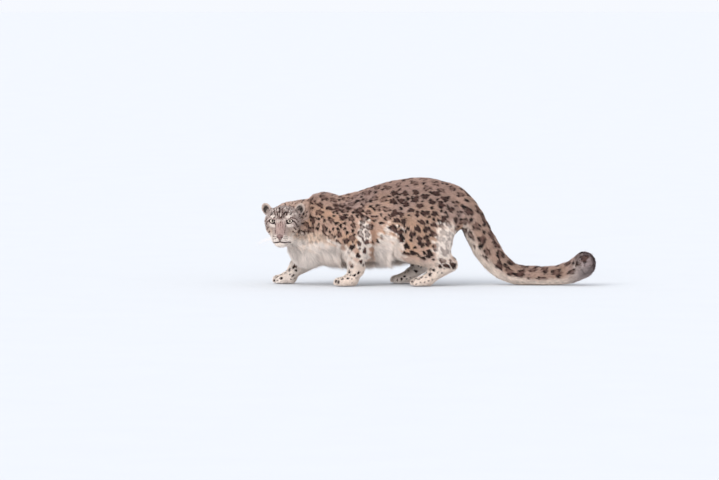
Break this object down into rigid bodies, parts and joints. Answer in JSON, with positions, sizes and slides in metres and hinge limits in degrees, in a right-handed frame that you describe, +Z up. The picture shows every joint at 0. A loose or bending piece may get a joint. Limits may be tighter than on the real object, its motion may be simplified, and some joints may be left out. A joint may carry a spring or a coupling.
{
  "type": "snow leopard",
  "caption": "Life-size spotted mountain cat in winter coat, stalking low with its head turned to one side and a long thick tail lying behind.",
  "frame": {"origin": "bottom centre of the box round the whole animal, on the floor under its soles", "axes": "+Z up; the animal faces -X with its tail behind it at +X; -Y is its left side, to which its face is turned"},
  "size_m": [1.569, 0.3974, 0.5084],
  "materials": {
    "coat": "dense winter fur, pinkish buff with dark broken rosettes, white below",
    "nose_leather": "moist bare nose skin",
    "eye": "wet, pale grey-green iris with a round pupil"
  },
  "bodies": {
    "root": {"trunk": "coat", "neck": "coat", "head": "coat", "jaw": "coat", "ear_left": "coat", "ear_right": "coat", "nose": "nose_leather", "eye_left": "eye", "eye_right": "eye", "upper_arm_left": "coat", "upper_arm_right": "coat", "forearm_left": "coat", "forearm_right": "coat", "forepaw_left": "coat", "forepaw_right": "coat", "thigh_left": "coat", "thigh_right": "coat", "shank_left": "coat", "shank_right": "coat", "hind_foot_left": "coat", "hind_foot_right": "coat", "hind_paw_left": "coat", "hind_paw_right": "coat", "tail_1": "coat", "tail_2": "coat", "tail_3": "coat", "tail_4": "coat", "tail_5": "coat"}
  },
  "joints": []
}
